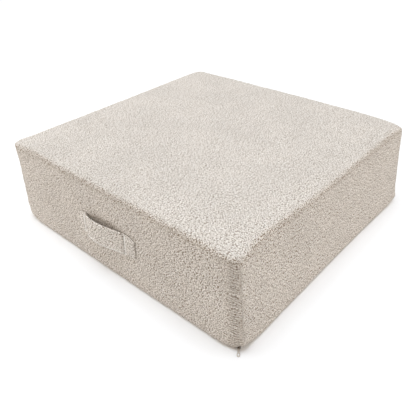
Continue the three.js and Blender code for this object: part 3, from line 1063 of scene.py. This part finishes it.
def strapFaces(rowCount, count, s):
    # bands of faces from row to row, and a closed end at each side
    faces = []
    for r in range(rowCount - 1):
        for c in range(count):
            a, b = r * count + c, r * count + (c + 1) % count
            faces.append((a, a + count, b + count, b))
    inside = s["acrossSpans"]
    back = inside + s["edgeSpans"]
    for first, flip in ((0, True), ((rowCount - 1) * count, False)):
        front = [first + c for c in range(inside + 1)]
        rear = [first + back + inside - c for c in range(inside + 1)]
        for c in range(inside):
            ring = (front[c], front[c + 1], rear[c + 1], rear[c])
            faces.append(ring if flip else ring[::-1])
        top = [first + c for c in range(inside, back + 1)]
        foot = [first + c for c in (*range(back + inside, count), 0)]
        faces.append(tuple(top if flip else top[::-1]))
        faces.append(tuple(foot if flip else foot[::-1]))
    return faces


def makeStrap(s, wall):
    rows, section = strapRows(s), strapSection(s)
    points = [strapPoint(along, *spot, s, wall) for along in rows for spot in section]
    places = []
    for along in rows:
        for across, through in section:
            fold = across if through >= 0 else 2 - across
            places.append((along, fold * s["width"], 0))
    faces = strapFaces(len(rows), len(section), s)
    strap = newMesh("sewn_carry_strap", np.array(points) * mm, faces)
    addAttribute(strap.data, "strapPlace", "FLOAT_VECTOR", "POINT", np.array(places))
    soften(strap)
    mesh = strap.data

    # wrinkles, most where it is stitched down
    placed = readAttribute(mesh, "strapPlace", 3)
    points, normals = meshPoints(mesh) / mm, meshNormals(mesh)
    past = abs(placed[:, 0]) - s["loop"] / 2
    nearStitch = hump(past, s["stitchReach"])
    move = s["knobRelief"] * noiseAt(points, s["knobSize"], seed=6)
    wrinkles = noiseAt(placed * np.array(s["wrinkleStretch"]), s["wrinkleSize"], seed=7)
    move += s["wrinkle"] * wrinkles * (s["wrinkleEverywhere"] + nearStitch)
    points = points + normals * move[:, None]
    setMeshPoints(mesh, points * mm)

    # what the cloth's material reads from the mesh
    cut = placed[meshCorners(mesh)] * mm + np.array(s["cutFrom"])
    addAttribute(mesh, "clothPlace", "FLOAT_VECTOR", "CORNER", cut)
    across = placed[:, 1]
    front = np.clip(across / s["frontFade"], 0, 1) * (across < s["width"] - s["frontFade"])
    # painted highlights along the lower hem and on the folds of the stitched ends, and a pucker mask
    # that paints shade into the creases where the ends are stitched down
    hem = hump(across - s["hemAt"], s["hemWidth"]) * (past < s["hemEnd"])
    fold = hump(past - s["foldAt"], s["foldWidth"])
    crease = hump(past, s["creaseWidth"]) * front
    wear = np.clip(s["hemWear"] * hem + s["foldWear"] * fold * front, 0, 1)
    pucker = np.clip(s["creasePucker"] * crease + nearStitch * s["stitchPucker"], 0, 1)
    addAttribute(mesh, "wear", "FLOAT", "POINT", wear)
    addAttribute(mesh, "pucker", "FLOAT", "POINT", pucker)
    mesh.attributes.remove(mesh.attributes["strapPlace"])
    mesh.materials.append(clothMaterial("boucle strap", s))
    return strap


strap = makeStrap(strapSettings, cushionSettings)
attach(strap, "root")
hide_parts("carry_strap")
print("strap made")


zipSettings = {
    "slider": {"colour": srgb(112, 98, 86), "rough": 0.45, "metal": 0.8},
    "pull": {"colour": srgb(212, 202, 191), "rough": 0.42, "metal": 0.6},
    "scratch": 900, "scratchDetail": 4, "scratchDepth": 0.05 * mm,
    "wearAndHighlight": 0.7, "smoother": -0.08, "rougher": 0.12,
}


def metalMaterial(name, s, shared):
    material = bpy.data.materials.new(name)
    material.use_nodes = True
    tree = material.node_tree
    link = tree.links.new
    metal = tree.nodes["Principled BSDF"]
    place = tree.nodes.new("ShaderNodeTexCoord")
    wearAndHighlight = tree.nodes.new("ShaderNodeTexNoise")
    share, fresh, rubbed, tone = colourMix(tree)
    rough = tree.nodes.new("ShaderNodeMapRange")
    bump = tree.nodes.new("ShaderNodeBump")
    setInputs(wearAndHighlight, {"Scale": shared["scratch"], "Detail": shared["scratchDetail"]})
    fresh.default_value = s["colour"]
    rubbed.default_value = tuple(shared["wearAndHighlight"] * v for v in s["colour"][:3]) + (1,)
    smoothest, roughest = s["rough"] + shared["smoother"], s["rough"] + shared["rougher"]
    setInputs(rough, {"To Min": smoothest, "To Max": roughest})
    setInputs(bump, {"Distance": shared["scratchDepth"]})
    setInputs(metal, {"Metallic": s["metal"]})
    link(place.outputs["Object"], wearAndHighlight.inputs["Vector"])
    link(wearAndHighlight.outputs["Fac"], share)
    link(tone, metal.inputs["Base Color"])
    link(wearAndHighlight.outputs["Fac"], rough.inputs["Value"])
    link(rough.outputs[0], metal.inputs["Roughness"])
    link(wearAndHighlight.outputs["Fac"], bump.inputs["Height"])
    link(bump.outputs[0], metal.inputs["Normal"])
    return material


for nodeName, key in (("zip_slider", "slider"), ("zip_pull", "pull")):
    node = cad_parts[nodeName]
    node.data.materials.clear()
    metal = metalMaterial("zip " + key + " metal", zipSettings[key], zipSettings)
    node.data.materials.append(metal)
print("zip finished")
